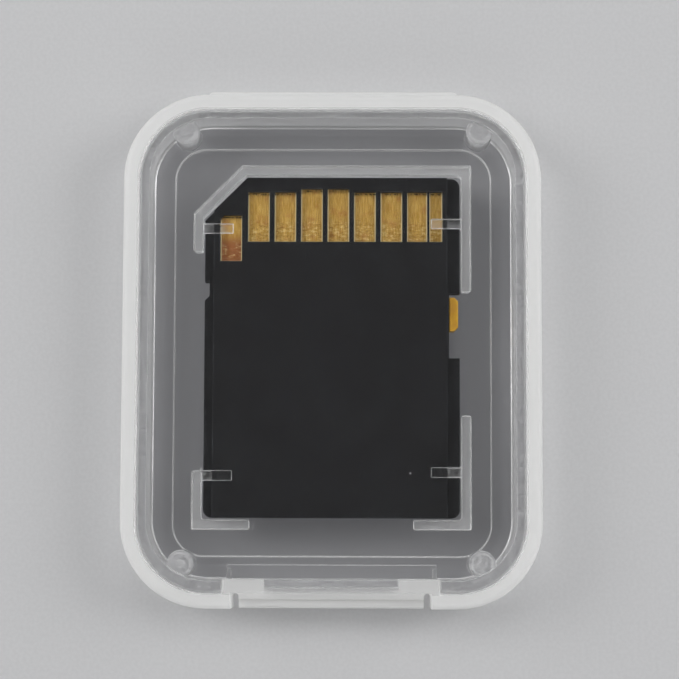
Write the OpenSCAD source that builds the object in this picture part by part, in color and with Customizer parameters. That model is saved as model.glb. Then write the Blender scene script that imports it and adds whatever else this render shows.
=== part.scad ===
// Memory card case: a hinged clear polypropylene box, moulded in one shot, holding one full-size memory card.
// It lies shut on the cover's outside face, at z = 0. The hinge edge is at -Y, the opening edge at +Y, and
// the tray with the card's pocket is the upper half, so +Z is the side on which the contacts show.

/* [Case] */
// Width of the shut case across the hinge edge
case_w = 39.2; // [38:0.1:50]
// Length of the shut case from hinge edge to opening edge, without the thumb ledge
case_l = 48.2; // [47:0.1:60]
// Thickness of the shut case
case_t = 6.6; // [6.2:0.1:8]
// Radius of the case's four corners
corner_r = 8; // [6.5:0.1:9]
// Thickness of the clear plates
plate_t = 0.9; // [0.7:0.05:1.1]
// Thickness of the outer wall
wall_t = 1.25; // [1:0.05:1.4]
// Rounding of the outside edges
edge_r = 0.55; // [0.3:0.05:0.65]
// Gap between the rims of the two halves when shut
rim_gap = 0.1; // [0.05:0.05:0.2]
// Fillet between plate and wall inside
root_r = 0.3; // [0.15:0.05:0.4]

/* [Inner lip of the cover] */
// Thickness of the lip
lip_t = 1; // [0.8:0.05:1.2]
// Clearance between the lip and the tray's wall
lip_gap = 0.12; // [0.11:0.01:0.2]
// Gap between the lip's rim and the tray's plate
lip_top_gap = 0.15; // [0.1:0.05:0.4]
// Lead-in bevel on the lip's rim
lip_bevel = 0.25; // [0.2:0.05:0.4]
// How far the cover's inside lies toward the opening edge, which leaves it thicker along the hinge
inner_y = 0.2; // [0:0.05:0.25]
// Distance of the thinned clear window on the cover's inside from the lip at its sides
window_side = 2.1; // [1:0.01:4]
// Distance of the window from the lip at its ends
window_end = 2.22; // [1.5:0.01:4]
// Corner radius of the window
window_r = 3; // [1:0.1:5]
// Depth of the window's step
window_step = 0.25; // [0.1:0.05:0.4]
// Diameter of the corner bosses, on which the mould's ejector pins press
boss_d = 2.5; // [2:0.1:3]
// Gap between a boss's end and the tray's plate
boss_top_gap = 0.9; // [0.5:0.05:2]
// How far the bosses at the opening edge sink into the lip
boss_bite_open = 0.85; // [0.3:0.05:1]
// How far the bosses at the hinge edge sink into the lip
boss_bite_hinge = 0.2; // [0.15:0.05:0.9]
// Direction of the opening-edge bosses from their corner's centre, up from X
boss_angle_open = 64; // [35:1:75]
// Direction of the hinge-edge bosses from their corner's centre, down from X
boss_angle_hinge = 57.5; // [35:0.5:75]

/* [Hinge] */
// Width of the hinge strap
strap_w = 17.3; // [12:0.1:18]
// Width of the see-through notch at each end of the strap
notch_w = 0.6; // [0.4:0.05:0.8]
// Depth of the recess in the hinge edge, in which the strap lies
recess_d = 1.45; // [1.2:0.05:1.6]
// Thickness of the strap's stiff leaves
leaf_t = 0.7; // [0.5:0.05:1]
// Thickness of the film that bends
film_t = 0.3; // [0.2:0.02:0.4]
// Straight part of the film between its fold and the leaves
film_leg = 0.1; // [0.05:0.05:0.3]
// How far the axis lies outside the hinge edge
axis_out = 0.05; // [0.02:0.01:0.2]
// Thickness of the return walls beside the recess
return_t = 0.75; // [0.5:0.05:1]
// Width of the thick block at each end of the recess
block_w = 3.75; // [2.5:0.05:5]
// Depth of the blocks, from the recess into the case
block_d = 1.25; // [1:0.05:1.6]
// Thickness of the tray's thin wall between its blocks
bridge_t = 0.45; // [0.35:0.05:0.6]
// Depth of the low pad beside the hinge on the cover
pad_l = 1.3; // [0.8:0.05:1.5]
// Height of the pad above the cover's plate
pad_h = 0.4; // [0.2:0.05:0.6]
// Height of the gussets at the pad's ends
gusset_h = 1.6; // [1:0.1:2]
// Thickness of the gussets
gusset_t = 0.35; // [0.25:0.05:0.6]

/* [Opening edge] */
// Width of the thumb ledge
thumb_w = 24; // [12:0.5:24.5]
// How far the ledge stands out
thumb_proud = 0.85; // [0.5:0.05:1.2]
// Thickness of the ledge
thumb_t = 0.9; // [0.6:0.05:1.2]
// Distance of each snap nub from the middle
nub_x = 10.4; // [6:0.1:10.5]
// Length of a snap nub
nub_l = 1.8; // [1:0.1:2.5]
// Radius of a nub's rounded face
nub_r = 0.6; // [0.5:0.05:0.8]
// How far a nub stands out of the lip
nub_proud = 0.08; // [0.04:0.01:0.09]
// Height of the nubs above the parting plane
nub_up = 1.1; // [1:0.05:1.2]
// Width of the gate vestige, the mark where the mould was filled
gate_d = 0.7; // [0.4:0.05:1]
// How far the vestige stands out of the wall
gate_proud = 0.12; // [0.05:0.01:0.2]
// Direction of the vestige round its corner, up from X
gate_angle = 33; // [20:1:45]

/* [Card pocket] */
// Thickness of the pocket's ribs
rib_t = 0.82; // [0.6:0.02:0.95]
// Height of the ribs below the tray's plate
rib_h = 1.8; // [1.4:0.05:2.6]
// Gap between ribs and the card's long edges
pocket_gap_x = 0.15; // [0.1:0.01:0.25]
// Gap between ribs and the card's short edges
pocket_gap_y = 0.22; // [0.1:0.01:0.3]
// Gap between the slanted rib and the card's cut corner
pocket_gap_cut = 0.25; // [0.15:0.01:0.3]
// How far the pocket's centre lies from the case's, toward the opening edge
pocket_y = 0.28; // [-0.2:0.01:0.5]
// Length of the left rib, down from the top rib's outer face
rib_run_left = 8.1; // [7.5:0.1:9]
// Length of the right rib, down from the top rib's outer face
rib_run_right = 11.86; // [8:0.1:12]
// Length of the lower left rib, up from the bottom rib's outer face
rib_rise_left = 5.38; // [4:0.05:9]
// Length of the lower right rib, up from the bottom rib's outer face
rib_rise_right = 10.55; // [6:0.05:11]
// Length of the two bottom ribs, in from the side ribs' outer faces
rib_foot = 5.3; // [3:0.05:8]
// Fillet in the pocket's three square corners
pocket_r = 0.4; // [0.1:0.05:0.5]
// Rounding of the ribs' free ends
rib_end_r = 0.2; // [0.05:0.05:0.25]

/* [Fingers on which the card rests] */
// Height of the fingers, which hold the card off the plate
finger_h = 0.55; // [0.4:0.05:0.8]
// Width of a finger
finger_w = 0.86; // [0.6:0.02:1]
// Length of a finger, from the side rib's outer face
finger_l = 3.66; // [2.5:0.02:4.5]
// Fillet beside a finger's root
finger_fillet = 0.35; // [0.15:0.05:0.4]
// Distance of the upper left finger from the top rib's outer face
finger_top_left = 5.95; // [5.6:0.05:6.8]
// Distance of the upper right finger from the top rib's outer face
finger_top_right = 5.48; // [4:0.05:7]
// Distance of the lower left finger from the bottom rib's outer face
finger_low_left = 4.96; // [3:0.02:5]
// Distance of the lower right finger from the bottom rib's outer face
finger_low_right = 5.28; // [3:0.02:9]

/* [Memory card] */
// Width of the card
card_w = 24; // [23.5:0.1:24.5]
// Length of the card
card_l = 32; // [31.5:0.1:32.5]
// Thickness of the card
card_t = 2.1; // [2:0.05:2.4]
// Leg of the cut corner
card_cut = 4; // [3.5:0.1:4.2]
// Radius of the other three corners
card_r = 0.8; // [0.3:0.1:1]
// Height of the side rails above the label face
rail_t = 1.4; // [1.38:0.01:1.5]
// Width of the left rail
rail_left = 0.87; // [0.6:0.01:0.9]
// Width of the right rail, where the lock switch runs
rail_right = 1.2; // [1.1:0.01:1.25]
// Floor of the label-side shell under the chips
floor_t = 0.35; // [0.25:0.01:0.4]
// Depth of the bare label recess
label_d = 0.1; // [0.05:0.01:0.15]
// Margin round the label recess
label_margin = 1.6; // [1.3:0.1:3]
// Depth of the index notch in the left edge
index_d = 0.45; // [0.2:0.05:0.5]
// Distance of the index notch from the card's top edge
index_y = 9.8; // [8:0.1:12]
// Length of the index notch
index_l = 1.8; // [1:0.1:3]

/* [Card contacts] */
// Distance of the first contact's window from the card's left edge
contact_left = 4.04; // [3.95:0.01:4.1]
// Distance of the last place in the row of eight from the card's right edge
contact_right = 2.46; // [2.4:0.01:2.8]
// Width of the plastic ribs between the windows
contact_rib = 0.45; // [0.4:0.01:0.7]
// How much narrower the seventh window is
contact_7_less = 0.14; // [0:0.01:0.3]
// How far the eighth window lies left of its place in the row
contact_8_shift = 0.4; // [0.3:0.01:0.45]
// Width of the eighth window
contact_8_w = 1.23; // [1:0.01:1.25]
// Distance of the ninth window from the card's left edge
contact_9_left = 1.45; // [1.4:0.01:1.6]
// Width of the ninth window
contact_9_w = 2.05; // [1.8:0.01:2.15]
// Distance of the windows from the card's top edge
contact_y = 1.32; // [1.2:0.01:1.5]
// Far end of the windows from the card's top edge
contact_end = 6.08; // [5:0.01:6.5]
// How far the windows of the two supply contacts reach further up
supply_extra = 0.3; // [0:0.05:0.3]
// Distance of the ninth window from the card's top edge
contact_9_y = 3.54; // [3.4:0.02:4]
// Far end of the ninth window from the card's top edge
contact_9_end = 7.92; // [6:0.01:8]
// Bevel of the ninth window's corner beside the cut corner
contact_9_cut = 0.35; // [0.1:0.05:0.6]
// Thickness of the gold-plated pads
pad_t = 0.03; // [0.02:0.01:0.05]
// How far a pad runs on under the edges of its window
pad_under = 0.08; // [0.04:0.01:0.1]

/* [Inside the card] */
// Depth of the pads below the contact face
sunk = 0.7; // [0.65:0.01:0.75]
// Thickness of the circuit board
board_t = 0.4; // [0.3:0.01:0.45]
// Gap round the board
board_gap = 0.1; // [0.05:0.01:0.15]
// Thinnest side wall round the board
skin_t = 0.18; // [0.15:0.01:0.25]
// Thickness of the wall along the cut corner
cut_wall = 0.45; // [0.3:0.05:0.6]
// Distance of the board from the card's top edge
board_y = 0.85; // [0.7:0.05:0.9]
// Distance of the board from the card's bottom edge
board_back = 3.15; // [1.2:0.05:5]
// Ledge of the label-side shell on which the board lies
ledge_w = 0.75; // [0.6:0.05:0.9]
// Gap between the memory chip and the ledges beside it
memory_side = 0.9; // [0.3:0.05:3]
// Distance of the memory chip from the board's bottom edge
memory_back = 1.5; // [1.2:0.1:3]
// Length of the memory chip
memory_l = 12; // [8:0.1:13]
// Gap between the memory chip and the controller chip
chip_space = 1.5; // [0.5:0.1:2.5]
// Side of the controller chip
controller_w = 6; // [4:0.1:7]
// Gap between the chips and the shell's floor
chip_gap = 0.03; // [0.02:0.01:0.06]
// Length of a small capacitor or resistor
passive_l = 1; // [0.6:0.05:1.2]
// Width of a small capacitor or resistor
passive_w = 0.5; // [0.3:0.05:0.6]
// Gap between one of these and the next, or the controller
passive_gap = 0.7; // [0.4:0.05:0.9]
// Height of a capacitor
capacitor_h = 0.45; // [0.3:0.01:0.48]
// Height of a resistor
resistor_h = 0.3; // [0.2:0.01:0.4]

/* [Lock switch] */
// Depth of the switch's notch in the right edge
lock_notch_d = 1; // [0.9:0.05:1]
// Distance of the notch from the card's top edge
lock_notch_y = 10.9; // [10:0.1:12]
// Length of the notch
lock_notch_l = 6.1; // [5.9:0.1:7]
// Length of the switch
switch_l = 3.17; // [2.6:0.01:3.4]
// Distance of the switch from the card's top edge when unlocked
switch_y = 11.27; // [11.1:0.01:11.6]
// How far the switch travels to its locked place
switch_travel = 2.2; // [1:0.1:2.3]
// How far the switch stays back from the card's edge
switch_back = 0.15; // [0.05:0.01:0.3]
// Bevel of the switch's outer corners
switch_bevel = 0.36; // [0.2:0.02:0.5]
// Clearance of the switch and its tongue
switch_gap = 0.05; // [0.03:0.01:0.08]
// Width of the switch's tongue, which runs in a slot between the shells
tongue_w = 0.6; // [0.4:0.05:0.7]
// Thickness of the tongue
tongue_t = 0.36; // [0.3:0.01:0.4]

/* [Hidden] */
// Contacts in all, and those in the straight row
CONTACTS = 9;
ROW = 8;
$fn = 72;

// A short overlap where one solid is cut from or joined to another
e = 0.2;

parting_z = case_t / 2;
rim_z = parting_z - rim_gap / 2;
cavity_top = case_t - plate_t;
lip_inset = wall_t + lip_gap;
inner_inset = lip_inset + lip_t;
lip_top = cavity_top - lip_top_gap;
inner_r = corner_r - inner_inset;
boss_top = cavity_top - boss_top_gap;

edge_y = case_l / 2;
axis_y = -(edge_y + axis_out);
recess_y = -edge_y + recess_d;
recess_w = strap_w + 2 * notch_w + 0.1;
hinge_w = recess_w + 2 * return_t;
block_y = recess_y + block_d;
bridge_y = recess_y + bridge_t;
segment_w = hinge_w - 2 * block_w - 2 * lip_gap;
fold_r = rim_gap / 2;
fold_y = -edge_y + fold_r + film_t;
leaf_end = fold_y + fold_r + film_t + film_leg;

card_y = pocket_y;
card_z = cavity_top - finger_h - card_t;
card_top = card_l / 2;
pocket_w = card_w + 2 * pocket_gap_x;
pocket_l = card_l + 2 * pocket_gap_y;
// Leg of the pocket's slanted corner that keeps pocket_gap_cut from the card's
pocket_cut = card_cut + pocket_gap_x + pocket_gap_y - sqrt(2) * pocket_gap_cut;
rib_cut = pocket_cut + (2 - sqrt(2)) * rib_t;
rib_w = pocket_w + 2 * rib_t;
rib_l = pocket_l + 2 * rib_t;

board_roof = card_t - sunk;
board_top = board_roof - pad_t;
// The seam between the card's two shells is level with the board's underside
seam_z = board_top - board_t;
well_left = -card_w / 2 + rail_left + skin_t;
well_right = card_w / 2 - rail_right - skin_t;
well_top = card_top - board_y + board_gap;
well_low = -card_top + board_back - board_gap;
// Leg of the well's slanted corner that keeps cut_wall inside the card's
well_cut = card_cut - (well_left + card_w / 2) - (card_top - well_top) + sqrt(2) * cut_wall;
memory_y = well_low + board_gap + memory_back + memory_l / 2;
controller_y = memory_y + memory_l / 2 + chip_space + controller_w / 2;
board_x = (well_left + well_right) / 2;
pitch = (card_w - contact_left - contact_right) / (ROW - 1);
contact_w = pitch - contact_rib;
first_x = -card_w / 2 + contact_left;
switch_out = card_w / 2 - switch_back;
switch_in = card_w / 2 - lock_notch_d + switch_gap;

clear_pp = [0.86, 0.88, 0.9, 0.45];
card_black = [0.11, 0.11, 0.12];
gold = [0.83, 0.65, 0.3];
copper_gold = [0.72, 0.47, 0.25];

// A rectangle with round corners, centred on the origin
module round_rect(w, l, r) {
    square([w - 2 * r, l], center = true);
    square([w, l - 2 * r], center = true);
    for (sx = [-1, 1], sy = [-1, 1])
        translate([sx * (w / 2 - r), sy * (l / 2 - r)]) circle(r);
}

// The case's outline, drawn in by inset
module case_outline(inset) {
    round_rect(case_w - 2 * inset, case_l - 2 * inset, corner_r - inset);
}

// Carries a section round the case's outline drawn in by inset. The section's x is 0 on that line and
// negative inside it
module along_outline(inset) {
    for (turn = [0, 180]) rotate([0, 0, turn]) {
        for (c = [[1, 0], [-1, 90]])
            translate([c[0] * (case_w / 2 - corner_r), case_l / 2 - corner_r, 0])
                rotate([0, 0, c[1]]) rotate_extrude(angle = 90) translate([corner_r - inset, 0]) children();
        translate([case_w / 2 - inset, case_l / 2 - corner_r, 0])
            rotate([90, 0, 0]) linear_extrude(case_l - 2 * corner_r) children();
        translate([-case_w / 2 + corner_r, case_l / 2 - inset, 0])
            rotate([90, 0, 90]) linear_extrude(case_w - 2 * corner_r) children();
    }
}

// What a fillet or a rounded edge of radius r takes from a square corner at the origin
module corner_waste(r) {
    difference() {
        square(r);
        translate([r, r]) circle(r);
    }
}

// A ring between the case's outline drawn in by out_inset and by in_inset, the second one moved by y
module ring_plan(out_inset, in_inset, y) {
    difference() {
        case_outline(out_inset);
        translate([0, y]) case_outline(in_inset);
    }
}

// What rounds the outside edge takes off, in section
module edge_waste() {
    difference() {
        translate([-edge_r, -e]) square(edge_r + e);
        translate([-edge_r, edge_r]) circle(edge_r);
    }
}

// The fillet at the foot of a wall, in section
module root_section() {
    translate([0, plate_t]) rotate([0, 0, 90]) corner_waste(root_r);
}

// A block from the low corner to the high corner
module block(low, high) {
    translate(low) cube(high - low);
}

// A block as wide as w about the middle, between two lengths and two heights
module mid_block(w, y, z) {
    block([-w / 2, y[0], z[0]], [w / 2, y[1], z[1]]);
}

// The stiff leaf of the hinge strap just under the rim, with the round ends of the notches beside it
module hinge_leaf() {
    notch_x = strap_w / 2 + notch_w / 2;
    notch_end = recess_y - notch_w / 2 - 0.05;
    translate([0, 0, rim_z - leaf_t]) linear_extrude(leaf_t) difference() {
        translate([-recess_w / 2 - e, leaf_end]) square([recess_w + 2 * e, recess_y + e - leaf_end]);
        for (s = [-1, 1]) {
            translate([s * notch_x, notch_end]) circle(notch_w / 2);
            translate([s * (notch_x + e) - notch_w / 2 - e, leaf_end - e])
                square([notch_w + 2 * e, notch_end - leaf_end + e]);
        }
    }
}

// One half of the case, lying on its outside face: plate, wall, hinge recess and hinge leaf. The inside of
// the wall is the outline drawn in by inset and moved by y
module half_shell(inset, y) {
    difference() {
        union() {
            linear_extrude(rim_z) ring_plan(0, inset, y);
            translate([0, y, 0]) {
                linear_extrude(plate_t) case_outline(inset - e);
                along_outline(inset) root_section();
            }
            mid_block(hinge_w, [-edge_y + wall_t / 2, block_y], [plate_t / 2, rim_z]);
        }
        along_outline(0) edge_waste();
        mid_block(recess_w, [-edge_y - e, recess_y], [-e, case_t]);
    }
    hinge_leaf();
}

// The cover's lip above its wall, with the lead-in bevel round its outside, open over the hinge
module cover_lip() {
    difference() {
        translate([0, 0, rim_z - e]) linear_extrude(lip_top - rim_z + e)
            ring_plan(lip_inset, inner_inset, inner_y);
        along_outline(lip_inset) polygon([
            [e, lip_top - lip_bevel - e], [e, lip_top + e], [-lip_bevel - e, lip_top + e]
        ]);
        mid_block(hinge_w + 2 * lip_gap, [-edge_y, -edge_y / 2], [rim_z, case_t]);
    }
}

// A corner boss at a given angle and bite, for the corner on side sx, sy
module corner_boss(sx, sy, angle, bite) {
    reach = inner_r - boss_d / 2 + bite;
    translate([
        sx * (case_w / 2 - corner_r + reach * cos(angle)),
        sy * (case_l / 2 - corner_r + reach * sin(angle)),
        plate_t / 2
    ]) cylinder(d = boss_d, h = boss_top - plate_t / 2);
}

// A snap nub on the opening side of the lip, cut off behind the lip's face. The tray's dimple is one with grow
module snap_nub(sx, grow) {
    face_y = edge_y - lip_inset;
    low_x = sx * nub_x - nub_l / 2 - grow;
    intersection() {
        translate([low_x, face_y + nub_proud - nub_r, parting_z + nub_up])
            rotate([0, 90, 0]) cylinder(r = nub_r + grow, h = nub_l + 2 * grow);
        block([low_x - e, face_y - lip_t / 2, parting_z], [low_x + nub_l + 2 * grow + e, edge_y, case_t]);
    }
}

// A thin wedge that stiffens the foot of the hinge block at the pad's end
module pad_gusset(s) {
    x = s * (hinge_w / 2 - gusset_t);
    translate([x - gusset_t / 2, block_y - e, plate_t / 2]) rotate([90, 0, 90])
        linear_extrude(gusset_t)
            polygon([[0, 0], [e + pad_l, 0], [e + pad_l, plate_t / 2], [e, plate_t / 2 + gusset_h],
                [0, plate_t / 2 + gusset_h]]);
}

module cover_shell() {
    color(clear_pp) difference() {
        union() {
            half_shell(inner_inset, inner_y);
            cover_lip();
            mid_block(segment_w, [bridge_y + lip_gap, block_y], [rim_z - e, lip_top]);
            for (s = [-1, 1]) {
                corner_boss(s, 1, boss_angle_open, boss_bite_open);
                corner_boss(s, -1, boss_angle_hinge, boss_bite_hinge);
                pad_gusset(s);
                snap_nub(s, 0);
            }
            mid_block(hinge_w - gusset_t, [block_y - e, block_y + pad_l], [plate_t / 2, plate_t + pad_h]);
            translate([0, edge_y, rim_z - thumb_t]) linear_extrude(thumb_t)
                round_rect(thumb_w, 2 * thumb_proud, thumb_proud * 0.8);
        }
        translate([0, inner_y, plate_t - window_step]) linear_extrude(window_step + e)
            round_rect(case_w - 2 * (inner_inset + window_side), case_l - 2 * (inner_inset + window_end),
                window_r);
    }
}

// Outline of the card or its pocket: w by l with the cut corner at the upper left
module cut_rect(w, l, cut) {
    x = w / 2;
    y = l / 2;
    polygon([[-x, -y], [x, -y], [x, y], [-x + cut, y], [-x, y - cut]]);
}

// What rounding a rib's free end takes off. The end looks up at the origin
module rib_end_waste() {
    for (side = [0, 1]) mirror([side, 0])
        translate([-rib_t / 2, 0]) rotate([0, 0, -90]) corner_waste(rib_end_r);
}

// The pocket's ribs seen from above: a ring round the card, open in the middle of its sides and its bottom
module pocket_plan() {
    x = rib_w / 2;
    y = rib_l / 2;
    mid_x = x - rib_t / 2;
    difference() {
        cut_rect(rib_w, rib_l, rib_cut);
        difference() {
            cut_rect(pocket_w, pocket_l, pocket_cut);
            for (c = [[-1, -1, 0], [1, -1, 90], [1, 1, 180]])
                translate([c[0] * pocket_w / 2, c[1] * pocket_l / 2])
                    rotate([0, 0, c[2]]) corner_waste(pocket_r);
        }
        translate([-x - e, -y + rib_rise_left])
            square([x, rib_l - rib_run_left - rib_rise_left]);
        translate([e, -y + rib_rise_right])
            square([x, rib_l - rib_run_right - rib_rise_right]);
        translate([-x + rib_foot, -y - e]) square([rib_w - 2 * rib_foot, 2 * rib_t]);
        translate([-mid_x, -y + rib_rise_left]) rib_end_waste();
        translate([mid_x, -y + rib_rise_right]) rib_end_waste();
        translate([-mid_x, y - rib_run_left]) rotate(180) rib_end_waste();
        translate([mid_x, y - rib_run_right]) rotate(180) rib_end_waste();
        for (s = [-1, 1]) translate([s * (x - rib_foot), -y + rib_t / 2]) rotate(s * 90) rib_end_waste();
    }
}

// A finger that runs in from a side rib at height y, with a fillet on each side of its root
module finger_plan(s, y) {
    root_x = rib_w / 2 - rib_t;
    scale_x = s > 0 ? [0, 0, 0] : [0, 180, 0];
    rotate(scale_x) translate([0, y]) {
        translate([rib_w / 2 - finger_l, -finger_w / 2]) square([finger_l - rib_t / 2, finger_w]);
        for (side = [0, 1]) mirror([0, side])
            translate([root_x, finger_w / 2]) rotate([0, 0, 90]) corner_waste(finger_fillet);
    }
}

// The mark of the mould's gate on the tray's wall, at the right corner of the opening edge
module gate_vestige() {
    translate([case_w / 2 - corner_r, edge_y - corner_r, (parting_z + case_t) / 2]) rotate([0, 0, gate_angle])
        translate([corner_r - wall_t / 2, 0, 0]) rotate([0, 90, 0])
            cylinder(d = gate_d, h = wall_t / 2 + gate_proud);
}

module tray_shell() {
    color(clear_pp) difference() {
        union() {
            translate([0, 0, case_t]) mirror([0, 0, 1]) half_shell(wall_t, 0);
            translate([0, card_y, cavity_top - rib_h]) linear_extrude(rib_h + plate_t / 2) pocket_plan();
            translate([0, card_y, cavity_top - finger_h]) linear_extrude(finger_h + plate_t / 2) {
                finger_plan(-1, rib_l / 2 - finger_top_left);
                finger_plan(1, rib_l / 2 - finger_top_right);
                finger_plan(-1, -rib_l / 2 + finger_low_left);
                finger_plan(1, -rib_l / 2 + finger_low_right);
            }
            gate_vestige();
        }
        mid_block(hinge_w - 2 * block_w, [bridge_y, block_y + e], [parting_z - e, cavity_top]);
        for (s = [-1, 1]) snap_nub(s, nub_proud);
    }
}

// Section of the film: a band r thick each side of the parting plane, with a round end at the hinge edge
module fold_section(r) {
    translate([fold_y, 0]) circle(r);
    translate([fold_y, -r]) square([leaf_end - fold_y, 2 * r]);
}

module hinge_film() {
    color(clear_pp) translate([-strap_w / 2, 0, parting_z]) rotate([90, 0, 90]) linear_extrude(strap_w)
        difference() {
            fold_section(fold_r + film_t);
            fold_section(fold_r);
        }
}

// Puts a piece of the card in its place in the tray's pocket
module in_pocket() {
    translate([0, card_y, card_z]) children();
}

// Outline of the card with its cut corner, three round corners, index notch and switch notch
module card_plan() {
    x = card_w / 2;
    difference() {
        cut_rect(card_w, card_l, card_cut);
        for (c = [[-x, -card_top, 0], [x, -card_top, 90], [x, card_top, 180]])
            translate([c[0], c[1]]) rotate([0, 0, c[2]]) corner_waste(card_r);
        translate([-x, card_top - index_y]) polygon([
            [-e, 0], [index_d, 0], [index_d, -index_l + index_d], [-e, -index_l - e]
        ]);
        translate([x - lock_notch_d, card_top - lock_notch_y - lock_notch_l])
            square([lock_notch_d + e, lock_notch_l]);
    }
}

// Outline of the well for the board, drawn in by inset
module well_plan(inset) {
    low = [well_left + inset, well_low + inset];
    high = [well_right - inset, well_top - inset];
    leg = well_cut - inset * (2 - sqrt(2));
    polygon([low, [high[0], low[1]], high, [low[0] + leg, high[1]], [low[0], high[1] - leg]]);
}

function window_left(n) = n > ROW ? -card_w / 2 + contact_9_left
    : first_x + (n - 1) * pitch - (n == ROW ? contact_8_shift : 0);
function window_width(n) = n > ROW ? contact_9_w : n == ROW ? contact_8_w
    : contact_w - (n == ROW - 1 ? contact_7_less : 0);
function window_start(n) = n == 9 ? contact_9_y : contact_y - (n == 3 || n == 4 ? supply_extra : 0);
function window_end(n) = n == 9 ? contact_9_end : contact_end;

// Outline of a contact's window, grown by grow for the pad that lies under it
module window_plan(n, grow) {
    w = window_width(n) + 2 * grow;
    l = window_end(n) - window_start(n) + 2 * grow;
    cut = n == CONTACTS ? contact_9_cut : 0;
    translate([window_left(n) - grow, card_top - window_end(n) - grow])
        polygon(concat([[0, 0], [w, 0], [w, l]], cut > 0 ? [[cut, l], [0, l - cut]] : [[0, l]]));
}

module card_back_shell() {
    x = card_w / 2;
    color(card_black) in_pocket() difference() {
        translate([0, 0, seam_z]) linear_extrude(card_t - seam_z) card_plan();
        block([-x - e, -card_l, rail_t], [-x + rail_left, card_l, card_t + e]);
        block([x - rail_right, -card_l, rail_t], [x + e, card_l, card_t + e]);
        translate([0, 0, seam_z - e]) linear_extrude(board_roof - seam_z + e) well_plan(0);
        for (n = [1:CONTACTS])
            translate([0, 0, board_roof - e]) linear_extrude(card_t) window_plan(n, 0);
    }
}

module card_front_shell() {
    x = card_w / 2;
    color(card_black) in_pocket() difference() {
        linear_extrude(seam_z) card_plan();
        translate([0, 0, floor_t]) linear_extrude(seam_z) well_plan(ledge_w + board_gap);
        translate([0, 0, -e]) linear_extrude(label_d + e)
            cut_rect(card_w - 2 * label_margin, card_l - 2 * label_margin, card_cut);
        block([switch_in - tongue_w - switch_gap, card_top - lock_notch_y - lock_notch_l,
            seam_z - tongue_t - 2 * switch_gap], [x, card_top - lock_notch_y, seam_z + e]);
    }
}

module card_board() {
    color("darkgreen") in_pocket()
        translate([0, 0, seam_z]) linear_extrude(board_top - seam_z) well_plan(board_gap);
}

module contact_pad(n) {
    color(n == CONTACTS ? copper_gold : gold) in_pocket()
        translate([0, 0, board_top]) linear_extrude(pad_t) window_plan(n, pad_under);
}

// A flat chip under the board, its moulded body bevelled at the edge
module chip(w, l, at) {
    h = seam_z - floor_t - chip_gap;
    bevel = h / 4;
    in_pocket() translate([at[0], at[1], seam_z - h]) {
        translate([0, 0, bevel]) linear_extrude(h - bevel) square([w, l], center = true);
        linear_extrude(h) square([w - 2 * bevel, l - 2 * bevel], center = true);
    }
}

module memory_chip() {
    w = well_right - well_left - 2 * (ledge_w + board_gap + memory_side);
    color([0.15, 0.15, 0.16]) chip(w, memory_l, [board_x, memory_y]);
}

module controller_chip() {
    color([0.13, 0.13, 0.15]) chip(controller_w, controller_w, [board_x, controller_y]);
}

// A row of count small parts under the board, h high, beside the controller on side s
module passives(s, count, h) {
    for (i = [0:count - 1]) {
        x = controller_w / 2 + passive_gap + passive_w / 2 + i * (passive_w + passive_gap);
        in_pocket() translate([board_x + s * x, controller_y, seam_z - h]) linear_extrude(h)
            square([passive_w, passive_l], center = true);
    }
}

module capacitors() {
    color("tan") passives(-1, 4, capacitor_h);
}

module resistors() {
    color([0.2, 0.2, 0.22]) passives(1, 3, resistor_h);
}

module lock_switch() {
    y = card_top - switch_y;
    color([0.95, 0.7, 0.12]) in_pocket() {
        translate([0, 0, switch_gap]) linear_extrude(rail_t - 2 * switch_gap) polygon([
            [switch_in, y - switch_l], [switch_out - switch_bevel, y - switch_l],
            [switch_out, y - switch_l + switch_bevel], [switch_out, y - switch_bevel],
            [switch_out - switch_bevel, y], [switch_in, y]
        ]);
        block([switch_in - tongue_w, y - switch_l, seam_z - tongue_t - switch_gap],
            [switch_in + e, y, seam_z - switch_gap]);
    }
}

cover_shell();
tray_shell();
hinge_film();
card_front_shell();
card_back_shell();
card_board();
for (n = [1:CONTACTS])
    contact_pad(n);
memory_chip();
controller_chip();
capacitors();
resistors();
lock_switch();
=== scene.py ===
"""Looks for the clear clamshell case with a memory card in its pocket, seen from the pocket's side."""
import math

import bpy
from mathutils import Matrix, Vector


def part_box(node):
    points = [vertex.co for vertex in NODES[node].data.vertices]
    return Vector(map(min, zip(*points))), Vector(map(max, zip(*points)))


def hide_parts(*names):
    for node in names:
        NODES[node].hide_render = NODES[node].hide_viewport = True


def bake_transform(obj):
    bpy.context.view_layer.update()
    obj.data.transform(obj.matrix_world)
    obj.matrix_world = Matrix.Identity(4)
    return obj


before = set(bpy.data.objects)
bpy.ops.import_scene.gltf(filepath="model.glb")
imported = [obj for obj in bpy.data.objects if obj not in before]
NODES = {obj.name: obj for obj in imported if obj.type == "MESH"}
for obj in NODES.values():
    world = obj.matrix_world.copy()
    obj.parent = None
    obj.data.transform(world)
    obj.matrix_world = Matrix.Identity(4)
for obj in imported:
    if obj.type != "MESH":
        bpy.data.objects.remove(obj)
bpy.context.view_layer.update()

MM = 0.001

# Case: sizes from the construction, in millimetres
CASE_W, CASE_L, CASE_T, CORNER_R = 39.2, 48.2, 6.6, 8.0
PLATE_T, WALL_T, ROOT_R = 0.9, 1.25, 0.3
INNER_INSET, INNER_Y, LIP_TOP = 2.37, 0.2, 5.55
WINDOW_W, WINDOW_L, WINDOW_R = 30.26, 39.02, 3.0
PAD_TOP = 1.3
PARTING_Z = 3.3

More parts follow.
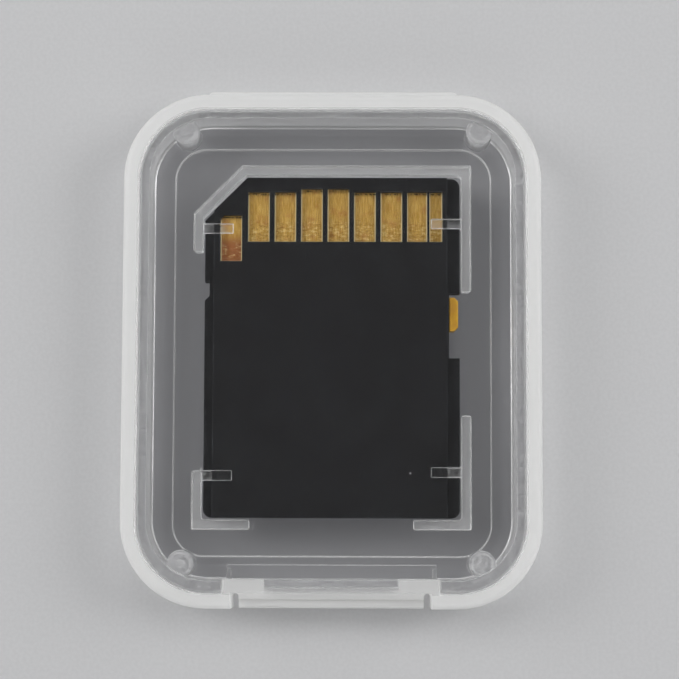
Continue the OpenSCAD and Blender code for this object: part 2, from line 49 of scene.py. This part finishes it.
# How white each surface of the case is, from 0 for clear to 1 for milk. The cover's walls are whiter, to look
# alike in the tray's shade, and pairs run from a finish's clearest spots to its whitest.
TRAY_WALL_HAZE, COVER_WALL_HAZE = 0.6, 0.8
PLATE_HAZE = (0.002, 0.008)
RIB_HAZE, RIM_FILLET_HAZE, BLOCK_HAZE = (0.1, 0.3), 0.62, 0.66
LEVEL_HAZE, LIP_HAZE = (0.06, 0.34), (0.04, 0.5)
# The edge, foot and step values whiten those places into lines of painted highlight; the dust is real
PAINTED_EDGE_WHITE, PAINTED_FOOT_WHITE, PAINTED_STEP_WHITE, DUST_HAZE = 0.7, 0.9, 0.6, 0.5
MOST_HAZE = 0.96
FOOT_GLINT = (0.35, 0.6)

# Rounding that the shading gives to edges, in millimetres
CASE_EDGE, CARD_EDGE, SLIDER_EDGE = 0.14, 0.09, 0.13

# Corner bosses: height of their end faces, and the centres of the two on the right
BOSS_TOP, BOSS_R = 4.8, 1.25
BOSSES = ((13.89, 20.8), (14.06, -19.96))

# Hinge: strap, the thick blocks beside it, and the film that bends
STRAP_W = 17.3
BLOCK_X, BLOCK_Y = (6.3, 10.05), (-22.65, -21.4)
FOLD_Y, FOLD_R, FILM_T, LEAF_END = -23.75, 0.05, 0.3, -23.3
FOLD_STEPS, FILM_ROWS = 24, 40

# Fingers: how far they reach down from the tray's outside face, and their ends and middles in plan
FINGER_DOWN = 1.45
FINGER_TIP, FINGER_W = 9.31, 0.86
FINGERS = ((-1, 11.37), (1, 11.84), (-1, -11.8), (1, -11.48))

# Card: its contact face, how far a contact runs on under its window's edge, and the small parts' length
CONTACT_FACE = 5.15
PAD_UNDER = 0.08
PASSIVE_L = 1.0

# Camera: the photograph's long lens, a little nearer the hinge edge than the middle
LENS, SENSOR = 114.37, 36.0
CAMERA_AT = (2.826, -18.0, 206.6)
LOOK_AT = (0.726, 0.852, 6.6)
ROLL = 0.19

# Studio: the floor's half width in metres, the distances in millimetres over which it turns pale, and each
# soft box's place and width in metres and its power in watts
FLOOR_GREY, FLOOR_GREY_DARK = "#CECECF", "#CACACB"
FAR_FLOOR = "#CDCECF"
ROOM_WHITE = "#F7F8FA"
HORIZON_LIGHT, ZENITH_LIGHT = 0.68, 0.06
FLOOR_HALF = 4.0
FAR_START, FAR_END = 70.0, 360.0
SOFT_BOXES = (
    ("soft_box_left", (-0.42, 0.14, 0.34), 0.3, 1.3),
    ("soft_box_right", (0.42, 0.1, 0.34), 0.3, 1.15),
    ("soft_box_far", (0.0, 0.27, 0.48), 0.2, 0.4),
    ("soft_box_near", (0.0, -0.42, 0.34), 0.2, 0.3),
)


def colour(code):
    """An sRGB hex colour as the linear colour that the shaders take."""
    parts = [int(code[i:i + 2], 16) / 255 for i in (1, 3, 5)]
    return tuple(p / 12.92 if p <= 0.04045 else ((p + 0.055) / 1.055) ** 2.4 for p in parts) + (1.0,)


def add(tree, kind, inputs=(), out=0, **settings):
    """Adds a node with its settings; an input that is a socket is linked, and any other value is set."""
    new = tree.nodes.new("ShaderNode" + kind)
    for name, value in settings.items():
        setattr(new, name, value)
    for key, value in inputs.items() if isinstance(inputs, dict) else enumerate(inputs):
        if isinstance(value, bpy.types.NodeSocket):
            tree.links.new(value, new.inputs[key])
        elif value is not None:
            new.inputs[key].default_value = value
    return new.outputs[out]


def new_material(name):
    """An empty node material and its tree."""
    made = bpy.data.materials.new(name)
    made.use_nodes = True
    made.node_tree.nodes.clear()
    return made, made.node_tree


def show(tree, surface, kind="Material"):
    """Puts a shader on the output of a material or the world."""
    end = tree.nodes.new("ShaderNodeOutput" + kind)
    tree.links.new(surface, end.inputs["Surface"])


def in_mm(tree):
    """The piece's own coordinates in millimetres."""
    here = add(tree, "TexCoord", out="Object")
    return add(tree, "VectorMath", {0: here, "Scale": 1 / MM}, operation="SCALE")


def ramp(tree, value, start, end, low=0.0, high=1.0):
    """Goes smoothly from low at start to high at end."""
    return add(tree, "MapRange", [value, start, end, low, high], interpolation_type="SMOOTHSTEP")


def band(tree, value, start, end, soft):
    """1 where the value lies between start and end, falling to 0 over soft at each side."""
    rise = ramp(tree, value, start - soft, start)
    fall = ramp(tree, value, end, end + soft, 1.0, 0.0)
    return add(tree, "Math", [rise, fall], operation="MULTIPLY")


def both(tree, *masks):
    """Where all the masks are."""
    total = masks[0]
    for mask in masks[1:]:
        total = add(tree, "Math", [total, mask], operation="MULTIPLY")
    return total


def blend(tree, mask, below, above):
    """One number or socket where the mask is 0, the other where it is 1."""
    return add(tree, "Mix", {0: mask, 2: below, 3: above}, data_type="FLOAT")


def tint(tree, mask, below, above):
    """One colour where the mask is 0, the other where it is 1. A colour is a hex code or a socket."""
    first, second = (colour(c) if isinstance(c, str) else c for c in (below, above))
    return add(tree, "Mix", {0: mask, 6: first, 7: second}, out=2, data_type="RGBA")


def depth_inside(tree, place, w, l, r, y=0.0):
    """Distance in millimetres from a rounded rectangle's outline, positive inside it."""
    flat = add(tree, "VectorMath", [place, (1, 1, 0), (0, -y, 0)], operation="MULTIPLY_ADD")
    side = add(tree, "VectorMath", [flat], operation="ABSOLUTE")
    past = add(tree, "VectorMath", [side, (w / 2 - r, l / 2 - r, 0)], operation="SUBTRACT")
    corner = add(tree, "VectorMath", [past, (0, 0, 0)], operation="MAXIMUM")
    out = add(tree, "VectorMath", [corner], out="Value", operation="LENGTH")
    part = add(tree, "SeparateXYZ", [past]).node
    deepest = add(tree, "Math", [part.outputs[0], part.outputs[1]], operation="MAXIMUM")
    within = add(tree, "Math", [deepest, 0.0], operation="MINIMUM")
    total = add(tree, "Math", [out, within], operation="ADD")
    return add(tree, "Math", [r, total], operation="SUBTRACT")


def soft_edge(tree, radius):
    """The normal of edges rounded by radius, and a mask that is 1 on those edges."""
    soft = add(tree, "Bevel", {"Radius": radius * MM}, samples=6)
    true = add(tree, "NewGeometry", out="Normal")
    along = add(tree, "VectorMath", [soft, true], out="Value", operation="DOT_PRODUCT")
    return soft, ramp(tree, along, 0.985, 0.86)


def boss_texture(tree, place):
    """The grain, drawn 0.1 mm coarse to show, and the rings that an ejector pin leaves on a boss's end."""
    mirrored = add(tree, "VectorMath", [place], operation="ABSOLUTE")
    x = add(tree, "SeparateXYZ", [mirrored], out=0)
    y = add(tree, "SeparateXYZ", [place], out=1)
    nearest = None
    for middle_x, middle_y in BOSSES:
        dx = add(tree, "Math", [x, middle_x], operation="SUBTRACT")
        dy = add(tree, "Math", [y, middle_y], operation="SUBTRACT")
        offset = add(tree, "CombineXYZ", [dx, dy])
        away = add(tree, "VectorMath", [offset], out="Value", operation="LENGTH")
        nearest = away if nearest is None else add(tree, "Math", [nearest, away], operation="MINIMUM")
    ring = band(tree, nearest, BOSS_R - 0.33, BOSS_R - 0.27, 0.05)
    eye = band(tree, nearest, 0.3, 0.36, 0.06)
    rings = add(tree, "Math", [eye, 0.5, ring], operation="MULTIPLY_ADD")
    sparks = add(tree, "TexNoise", {"Vector": place, "Scale": 9.0, "Detail": 3.0, "Roughness": 0.7})
    grains = ramp(tree, sparks, 0.4, 0.62, 0.1, 0.55)
    return add(tree, "Math", [rings, 0.4, grains], operation="MULTIPLY_ADD")


def dust(tree, place):
    """A few specks of dust, 0.1 mm across."""
    cells = add(tree, "TexVoronoi", {"Vector": place, "Scale": 0.24}).node
    near = ramp(tree, cells.outputs["Distance"], 0.03, 0.012)
    chance = add(tree, "SeparateXYZ", [cells.outputs["Color"]])
    kept = add(tree, "Math", [chance, 0.72], operation="GREATER_THAN")
    return both(tree, near, kept)


def polypropylene(name, is_tray):
    """Clear moulded polypropylene: polished plates to look through, walls and end faces frosted by the
    spark-eroded mould, and small round edges whitened into lines of painted highlight."""
    made, tree = new_material(name)
    place = in_mm(tree)
    x, y, z = add(tree, "SeparateXYZ", [place]).node.outputs
    height = add(tree, "Math", [CASE_T, z], operation="SUBTRACT") if is_tray else z
    facing = add(tree, "SeparateXYZ", [add(tree, "TexCoord", out="Normal")], out=2)
    steep = add(tree, "Math", [facing], operation="ABSOLUTE")
    level, upright = ramp(tree, steep, 0.6, 0.9), ramp(tree, steep, 0.9, 0.6)
    across = add(tree, "Math", [x], operation="ABSOLUTE")

    # The mould's grain, drawn 0.2 mm coarse to show, and a mottle of some 0.6 mm from uneven shrinkage
    fine = add(tree, "TexNoise", {"Vector": place, "Scale": 4.5, "Detail": 3.0, "Roughness": 0.6})
    mottle = add(tree, "TexNoise", {"Vector": place, "Scale": 1.6, "Detail": 3.0, "Roughness": 0.6})
    speckle = add(tree, "Math", [ramp(tree, fine, 0.3, 0.7, -0.05, 0.05),
                                 ramp(tree, mottle, 0.3, 0.7, -0.09, 0.09)], operation="ADD")

    depth = depth_inside(tree, place, CASE_W, CASE_L, CORNER_R)
    wall = ramp(tree, depth, WALL_T + 0.11, WALL_T + 0.05)
    raised = ramp(tree, height, PLATE_T + 0.03, PLATE_T + 0.08)
    clear_haze = ramp(tree, mottle, 0.3, 0.7, *PLATE_HAZE)
    wall_haze = TRAY_WALL_HAZE if is_tray else COVER_WALL_HAZE
    if is_tray:
        # Fingers stay nearly clear, ribs are frosted down their sides and on their ends
        rib = ramp(tree, height, FINGER_DOWN + 0.02, FINGER_DOWN + 0.3, *RIB_HAZE)
        rim = ramp(tree, depth, WALL_T + ROOT_R + 0.15, WALL_T + ROOT_R + 0.05)
        feature = blend(tree, rim, rib, RIM_FILLET_HAZE)
    else:
        # Sides are polished by their draft, and the faces level with the plate are frosted
        inner = depth_inside(tree, place, CASE_W, CASE_L, CORNER_R, INNER_Y)
        lip = ramp(tree, height, BOSS_TOP + 0.1, BOSS_TOP + 0.2)
        boss = both(tree, band(tree, height, BOSS_TOP - 0.03, BOSS_TOP + 0.03, 0.01),
                    ramp(tree, inner, INNER_INSET - 1.1, INNER_INSET - 1.0))
        sparked = ramp(tree, fine, 0.36, 0.64, *LEVEL_HAZE)
        flat_face = blend(tree, boss, sparked, boss_texture(tree, place))
        lip_edge = ramp(tree, height, LIP_TOP - 0.35, LIP_TOP - 0.1, *LIP_HAZE)
        feature = blend(tree, level, blend(tree, lip, LIP_HAZE[0], lip_edge), flat_face)
        raised = ramp(tree, height, PAD_TOP + 0.02, PAD_TOP + 0.06)
    speckle = blend(tree, wall, speckle, 0.0)
    haze = add(tree, "Math", [blend(tree, wall, feature, wall_haze), speckle], operation="ADD")
    frost = add(tree, "Math", [wall, raised], operation="MAXIMUM")
    block = both(tree, band(tree, across, *BLOCK_X, 0.03), band(tree, y, *BLOCK_Y, 0.03), raised)
    haze = blend(tree, block, haze, BLOCK_HAZE)
    # The wall steps back behind the hinge, and is frosted there as it is all round
    back_wall = both(tree, band(tree, y, BLOCK_Y[0] - 0.1, BLOCK_Y[0] + 0.1, 0.03),
                     ramp(tree, across, BLOCK_X[1] + 0.05, BLOCK_X[1]), upright)
    haze = blend(tree, back_wall, haze, wall_haze)
    frost = add(tree, "Math", [frost, back_wall], operation="MAXIMUM")
    haze = blend(tree, frost, clear_haze, haze)

    # Painted highlight: every small round edge is whitened into a thin bright line
    soft, edge = soft_edge(tree, CASE_EDGE)
    haze = add(tree, "Math", [edge, PAINTED_EDGE_WHITE, haze], operation="MULTIPLY_ADD")
    haze = add(tree, "Math", [dust(tree, place), DUST_HAZE, haze], operation="MULTIPLY_ADD")
    if not is_tray:
        # The fillet at the lip's foot and the rounded step of the window are whitened into two bright lines
        # of painted highlight
        foot = both(tree, band(tree, height, PLATE_T + 0.03, PLATE_T + ROOT_R, 0.03),
                    band(tree, inner, INNER_INSET - 0.05, INNER_INSET + 0.2, 0.03))
        window = depth_inside(tree, place, WINDOW_W, WINDOW_L, WINDOW_R, INNER_Y)
        step = both(tree, band(tree, window, -0.07, 0.07, 0.04),
                    band(tree, height, 0.3, PLATE_T + 0.05, 0.02))
        haze = add(tree, "Math", [foot, PAINTED_FOOT_WHITE, haze], operation="MULTIPLY_ADD")
        haze = add(tree, "Math", [step, PAINTED_STEP_WHITE, haze], operation="MULTIPLY_ADD")
    haze = add(tree, "Clamp", [haze, 0.0, MOST_HAZE])

    normal = add(tree, "Bump", {
        "Strength": 0.12, "Distance": 0.02 * MM, "Height": both(tree, fine, frost, level), "Normal": soft})
    rough = blend(tree, frost, 0.035, 0.3)
    clear = add(tree, "BsdfPrincipled", {
        "Base Color": colour("#FBFBFC"), "Roughness": rough, "IOR": 1.49,
        "Transmission Weight": 1.0, "Normal": normal})
    white = colour("#F3F3F2")
    front = add(tree, "BsdfDiffuse", {"Color": white, "Normal": normal})
    back = add(tree, "BsdfTranslucent", {"Color": white, "Normal": normal})
    milk = add(tree, "MixShader", [0.34, front, back])
    body = add(tree, "MixShader", [haze, clear, milk])
    if not is_tray:
        # The fillet at the lip's foot also mirrors the soft boxes
        glint = add(tree, "BsdfGlossy", {"Color": white, "Roughness": 0.3, "Normal": soft})
        shine = both(tree, foot, ramp(tree, mottle, 0.3, 0.7, *FOOT_GLINT))
        body = add(tree, "MixShader", [shine, body, glint])

    # Lamps reach through the plastic, dimmed by the frosting
    through = add(tree, "BsdfTransparent", [tint(tree, haze, "#EFEFEF", "#BEBEBE")])
    shadow = add(tree, "LightPath", out="Is Shadow Ray")
    show(tree, add(tree, "MixShader", [shadow, body, through]))
    return made


def card_plastic():
    """Black moulded ABS with a fine spark-eroded texture, which gives the eye an almost even matte black,
    with a painted highlight in patches along its edges, and painted paler light where the frosted fingers lie
    on it."""
    made, tree = new_material("abs_black_textured")
    place = in_mm(tree)
    x, y, z = add(tree, "SeparateXYZ", [place]).node.outputs
    grain = add(tree, "TexNoise", {"Vector": place, "Scale": 7.0, "Detail": 3.0, "Roughness": 0.6})
    cloud = add(tree, "TexNoise", {"Vector": place, "Scale": 0.35, "Detail": 4.0, "Roughness": 0.65})
    tone = tint(tree, ramp(tree, cloud, 0.35, 0.65), "#0B0B0D", "#131416")
    soft, edge = soft_edge(tree, CARD_EDGE)
    # Painted highlight: the edges are coloured a lighter grey, in patches
    painted_edge_highlight = both(tree, edge, ramp(tree, cloud, 0.4, 0.6, 0.3, 1.0))
    tone = tint(tree, painted_edge_highlight, tone, "#5A5C60")
    # Painted light: the card is coloured paler where each frosted finger lies on it, for the light that the
    # finger scatters
    top = ramp(tree, z, CONTACT_FACE - 0.05, CONTACT_FACE - 0.02)
    for side, middle in FINGERS:
        outward = add(tree, "Math", [x, side], operation="MULTIPLY")
        under = both(tree, ramp(tree, outward, FINGER_TIP - 0.02, FINGER_TIP + 0.02), top,
                     band(tree, y, middle - FINGER_W / 2 + 0.03, middle + FINGER_W / 2 - 0.03, 0.02))
        tone = tint(tree, under, tone, "#4A4B4D")
    normal = add(tree, "Bump", {"Strength": 0.3, "Distance": 0.02 * MM, "Height": grain, "Normal": soft})
    rough = ramp(tree, grain, 0.3, 0.7, 0.5, 0.68)
    show(tree, add(tree, "BsdfPrincipled", {
        "Base Color": tone, "Roughness": rough, "Specular IOR Level": 0.16, "Normal": normal}))
    return made


def gold_contact(n):
    """Hard gold over nickel on copper, brushed along the card and scuffed where a reader's springs land,
    which gives fine lengthwise streaks and bright and dull smears. Contact 9 is worn to copper lower down."""
    worn_out = n == 9
    made, tree = new_material(f"hard_gold_contact_{n}")
    low, high = (Vector(c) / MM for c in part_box(f"contact_pad_{n}"))
    middle = (low + high) / 2
    half_w, half_l = ((high[i] - low[i]) / 2 - PAD_UNDER for i in (0, 1))
    place = add(tree, "VectorMath", [in_mm(tree), tuple(middle)], operation="SUBTRACT")
    x, y, _ = add(tree, "SeparateXYZ", [place]).node.outputs
    own = add(tree, "VectorMath", [place, (n * 7.3, n * 3.1, 0.0)], operation="ADD")
    drawn = add(tree, "VectorMath", [own, (9.0, 0.9, 1.0)], operation="MULTIPLY")
    streak = add(tree, "TexNoise", {"Vector": drawn, "Scale": 1.0, "Detail": 3.0, "Roughness": 0.6})
    stain = add(tree, "TexNoise", {"Vector": own, "Scale": 0.9, "Detail": 3.0, "Roughness": 0.6})
    wide = add(tree, "VectorMath", [own, (1.0, 2.2, 1.0)], operation="MULTIPLY")
    dents = add(tree, "TexNoise", {"Vector": wide, "Scale": 1.7, "Detail": 4.0, "Roughness": 0.7})

    tone = tint(tree, ramp(tree, streak, 0.35, 0.65), "#C09542", "#DFBA68")
    tone = tint(tree, ramp(tree, stain, 0.5, 0.72, 0.0, 0.6), tone, "#BD8146")
    if worn_out:
        tone = tint(tree, ramp(tree, y, half_l * 0.35, -half_l * 0.3), tone, "#A66A40")
    # Springs land in the lower third and leave bright smears among dull ones
    landing = band(tree, y, -half_l * 0.85, -half_l * 0.35, half_l * 0.3)
    bright = both(tree, landing, ramp(tree, dents, 0.52, 0.62, 0.0, 0.9))
    dull = both(tree, landing, ramp(tree, dents, 0.47, 0.38, 0.0, 0.55))
    tone = tint(tree, dull, tone, "#93652C")
    tone = tint(tree, both(tree, bright, ramp(tree, streak, 0.4, 0.6, 0.35, 0.9)), tone, "#F3DC9C")
    # The window's edge throws a thin light line on both sides and at the foot
    aside = add(tree, "Math", [half_w, add(tree, "Math", [x], operation="ABSOLUTE")], operation="SUBTRACT")
    foot = add(tree, "Math", [y, half_l], operation="ADD")
    rim = add(tree, "Math", [aside, foot], operation="MINIMUM")
    tone = tint(tree, ramp(tree, rim, 0.14, 0.07, 0.0, 0.9), tone, "#F6E7B8")
    # A dotted dark line runs along the upper end
    crown = add(tree, "Math", [half_l, y], operation="SUBTRACT")
    top_dot_noise = add(tree, "TexNoise", {"Vector": own, "Scale": 4.5, "Detail": 1.0})
    dark_dotted_top = both(tree, band(tree, crown, 0.1, 0.2, 0.06), ramp(tree, top_dot_noise, 0.5, 0.56, 0.0, 0.85))
    tone = tint(tree, dark_dotted_top, tone, "#4A3414")

    rough = ramp(tree, streak, 0.3, 0.7, 0.5, 0.64)
    relief = add(tree, "Math", [dents, 0.8, streak], operation="MULTIPLY_ADD")
    normal = add(tree, "Bump", {"Strength": 0.35, "Distance": 0.012 * MM, "Height": relief})
    show(tree, add(tree, "BsdfPrincipled", {
        "Base Color": tone, "Metallic": 1.0, "Roughness": rough, "Normal": normal}))
    return made


def slider_plastic():
    """Amber moulded acetal, slightly waxy, with a painted highlight along its bevels, and darker in
    scratches.
    """
    made, tree = new_material("acetal_amber_moulded")
    place = in_mm(tree)
    grain = add(tree, "TexNoise", {"Vector": place, "Scale": 4.0, "Detail": 3.0, "Roughness": 0.6})
    slow = add(tree, "TexNoise", {"Vector": place, "Scale": 1.1, "Detail": 2.0})
    tone = tint(tree, ramp(tree, slow, 0.35, 0.65), "#C58E0C", "#D9A416")
    soft, edge = soft_edge(tree, SLIDER_EDGE)
    # Painted highlight: the bevels are coloured a lighter amber
    tone = tint(tree, edge, tone, "#EBC146")
    tone = tint(tree, ramp(tree, grain, 0.6, 0.72, 0.0, 0.5), tone, "#A36A0E")
    rough = ramp(tree, grain, 0.3, 0.7, 0.3, 0.45)
    normal = add(tree, "Bump", {"Strength": 0.25, "Distance": 0.02 * MM, "Height": grain, "Normal": soft})
    show(tree, add(tree, "BsdfPrincipled", {"Base Color": tone, "Roughness": rough, "Normal": normal}))
    return made


def board_laminate():
    """Glass-epoxy board under green solder mask: darker over bare laminate, lighter and raised over the
    copper tracks, which are drawn 0.35 mm apart."""
    made, tree = new_material("glass_epoxy_solder_mask")
    place = in_mm(tree)
    lanes = add(tree, "TexVoronoi", {"Vector": place, "Scale": 0.6}, distance="CHEBYCHEV")
    track = add(tree, "Math", [lanes, 0.2], operation="PINGPONG")
    copper = ramp(tree, track, 0.06, 0.1)
    weave = add(tree, "TexNoise", {"Vector": place, "Scale": 6.0, "Detail": 2.0})
    tone = tint(tree, copper, "#0C3A22", "#1C6A3C")
    tone = tint(tree, ramp(tree, weave, 0.4, 0.7, 0.0, 0.3), tone, "#0A2C1B")
    normal = add(tree, "Bump", {"Strength": 0.5, "Distance": 0.03 * MM, "Height": copper})
    rough = ramp(tree, weave, 0.3, 0.7, 0.28, 0.42)
    show(tree, add(tree, "BsdfPrincipled", {"Base Color": tone, "Roughness": rough, "Normal": normal}))
    return made


def chip_epoxy():
    """Black moulding compound, matte, with the glint of its glass filler."""
    made, tree = new_material("epoxy_moulding_compound")
    place = in_mm(tree)
    filler = add(tree, "TexNoise", {"Vector": place, "Scale": 9.0, "Detail": 3.0, "Roughness": 0.7})
    tone = tint(tree, ramp(tree, filler, 0.45, 0.7), "#17171A", "#2A2A2E")
    normal = add(tree, "Bump", {"Strength": 0.4, "Distance": 0.015 * MM, "Height": filler})
    rough = ramp(tree, filler, 0.3, 0.7, 0.55, 0.72)
    show(tree, add(tree, "BsdfPrincipled", {"Base Color": tone, "Roughness": rough, "Normal": normal}))
    return made


def tinned_part(name, node, dark, light):
    """A ceramic body between two tinned ends, which show as dull silver caps."""
    made, tree = new_material(name)
    low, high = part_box(node)
    middle = (low[1] + high[1]) / 2 / MM
    place = in_mm(tree)
    y = add(tree, "SeparateXYZ", [place], out=1)
    off = add(tree, "Math", [y, middle], operation="SUBTRACT")
    reach = add(tree, "Math", [off], operation="ABSOLUTE")
    tin = ramp(tree, reach, PASSIVE_L * 0.24, PASSIVE_L * 0.28)
    grain = add(tree, "TexNoise", {"Vector": place, "Scale": 8.0, "Detail": 2.0})
    body = tint(tree, ramp(tree, grain, 0.35, 0.65), dark, light)
    silver = tint(tree, ramp(tree, grain, 0.35, 0.65), "#B4B6B8", "#D2D3D4")
    rough = ramp(tree, grain, 0.3, 0.7, 0.38, 0.52)
    normal = add(tree, "Bump", {"Strength": 0.3, "Distance": 0.01 * MM, "Height": grain})
    show(tree, add(tree, "BsdfPrincipled", {
        "Base Color": tint(tree, tin, body, silver), "Metallic": tin, "Roughness": rough, "Normal": normal}))
    return made


def coat(node, material):
    """Puts a material on a CAD node's surface."""
    slots = NODES[node].material_slots
    if len(slots) == 0:
        NODES[node].data.materials.append(material)
    for slot in slots:
        slot.material = material


def film_outline():
    """The folded film in section, once round: its outer face first, then back along its inner face."""
    ring = []
    for r, order in ((FOLD_R + FILM_T, 1), (FOLD_R, -1)):
        side = [(LEAF_END, PARTING_Z - r)]
        for i in range(FOLD_STEPS + 1):
            a = -math.pi / 2 - math.pi * i / FOLD_STEPS
            side.append((FOLD_Y + r * math.cos(a), PARTING_Z + r * math.sin(a)))
        side.append((LEAF_END, PARTING_Z + r))
        ring += side[::order]
    return ring


def film_piece(material):
    """The thin band of the living hinge, folded round the parting plane, with its bend in fine steps."""
    ring, rows = film_outline(), FILM_ROWS
    verts, faces = [], []
    n = len(ring)
    for k in range(rows + 1):
        x = -STRAP_W / 2 + STRAP_W * k / rows
        verts += [(x * MM, y * MM, z * MM) for y, z in ring]
    for k in range(rows):
        for i in range(n):
            j = (i + 1) % n
            faces.append((k * n + i, k * n + j, (k + 1) * n + j, (k + 1) * n + i))
    for k, flip in ((0, True), (rows, False)):
        for i in range(n // 2 - 1):
            quad = (k * n + i, k * n + i + 1, k * n + n - 2 - i, k * n + n - 1 - i)
            faces.append(quad[::-1] if flip else quad)
    mesh = bpy.data.meshes.new("hinge_film_band")
    mesh.from_pydata(verts, [], faces)
    mesh.update()
    piece = bpy.data.objects.new("hinge_film_band", mesh)
    bpy.context.scene.collection.objects.link(piece)
    mesh.materials.append(material)
    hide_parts("hinge_film")
    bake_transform(piece)


def lamp(name, at, size, power):
    """A soft box: a square area lamp that faces the case."""
    data = bpy.data.lights.new(name, "AREA")
    data.shape, data.size, data.energy = "SQUARE", size, power
    new = bpy.data.objects.new(name, data)
    new.location = at
    new.rotation_euler = (-Vector(at)).to_track_quat("-Z", "Y").to_euler()
    bpy.context.scene.collection.objects.link(new)


def studio():
    """A plain pale floor of matte painted board, soft boxes on all four sides, and a room that is pale all
    round and dim overhead, so that the flat plates mirror little into the camera."""
    made, tree = new_material("painted_board_matte")
    here = in_mm(tree)
    grain = add(tree, "TexNoise", {"Vector": here, "Scale": 3.0, "Detail": 3.0})
    rough = ramp(tree, grain, 0.3, 0.7, 0.82, 0.92)
    tone = tint(tree, ramp(tree, grain, 0.3, 0.7), FLOOR_GREY_DARK, FLOOR_GREY)
    board = add(tree, "BsdfPrincipled", {"Base Color": tone, "Roughness": rough, "Specular IOR Level": 0.1})
    # Past the lamps' reach the board is seen as pale as the room behind it, and lights nothing
    path = add(tree, "LightPath").node.outputs
    seen = add(tree, "Math", [path["Is Camera Ray"], path["Is Glossy Ray"]], operation="MAXIMUM")
    seen = add(tree, "Math", [seen, path["Is Transmission Ray"]], operation="MAXIMUM")
    away = add(tree, "VectorMath", [here], out="Value", operation="LENGTH")
    far = both(tree, ramp(tree, away, FAR_START, FAR_END), seen)
    show(tree, add(tree, "MixShader", [far, board, add(tree, "Emission", [colour(FAR_FLOOR), 1.0])]))
    mesh = bpy.data.meshes.new("studio_floor")
    s = FLOOR_HALF
    mesh.from_pydata([(-s, -s, 0), (s, -s, 0), (s, s, 0), (-s, s, 0)], [], [(0, 1, 2, 3)])
    mesh.materials.append(made)
    floor = bpy.data.objects.new("studio_floor", mesh)
    bpy.context.scene.collection.objects.link(floor)

    world = bpy.data.worlds.new("pale_room")
    bpy.context.scene.world = world
    world.use_nodes = True
    tree = world.node_tree
    tree.nodes.clear()
    up = add(tree, "SeparateXYZ", [add(tree, "TexCoord", out="Generated")], out=2)
    strength = ramp(tree, up, 0.1, 0.95, HORIZON_LIGHT, ZENITH_LIGHT)
    show(tree, add(tree, "Background", [colour(ROOM_WHITE), strength]), "World")

    for box in SOFT_BOXES:
        lamp(*box)


def camera():
    """The photograph's view: almost square on, from a long lens."""
    data = bpy.data.cameras.new("camera")
    data.lens, data.sensor_width = LENS, SENSOR
    data.clip_start, data.clip_end = 0.01, 20.0
    at, aim = Vector(CAMERA_AT) * MM, Vector(LOOK_AT) * MM
    back = (at - aim).normalized()
    right = Vector((0, 1, 0)).cross(back).normalized()
    up = back.cross(right)
    turn = Matrix((right, up, back)).transposed() @ Matrix.Rotation(math.radians(ROLL), 3, "Z")
    new = bpy.data.objects.new("camera", data)
    new.matrix_world = Matrix.Translation(at) @ turn.to_4x4()
    bpy.context.scene.collection.objects.link(new)
    bpy.context.scene.camera = new


cover_pp = polypropylene("polypropylene_clear_cover", False)
coat("tray_shell", polypropylene("polypropylene_clear_tray", True))
coat("cover_shell", cover_pp)
film_piece(cover_pp)

abs_black = card_plastic()
coat("card_back_shell", abs_black)
coat("card_front_shell", abs_black)
for number in range(1, 10):
    coat(f"contact_pad_{number}", gold_contact(number))
coat("lock_switch", slider_plastic())
coat("card_board", board_laminate())
epoxy = chip_epoxy()
coat("memory_chip", epoxy)
coat("controller_chip", epoxy)
coat("capacitors", tinned_part("ceramic_tan_tinned_ends", "capacitors", "#8F7350", "#B0946A"))
coat("resistors", tinned_part("ceramic_black_tinned_ends", "resistors", "#1C1C20", "#303036"))

studio()
camera()

bpy.context.scene.view_settings.view_transform = "Standard"
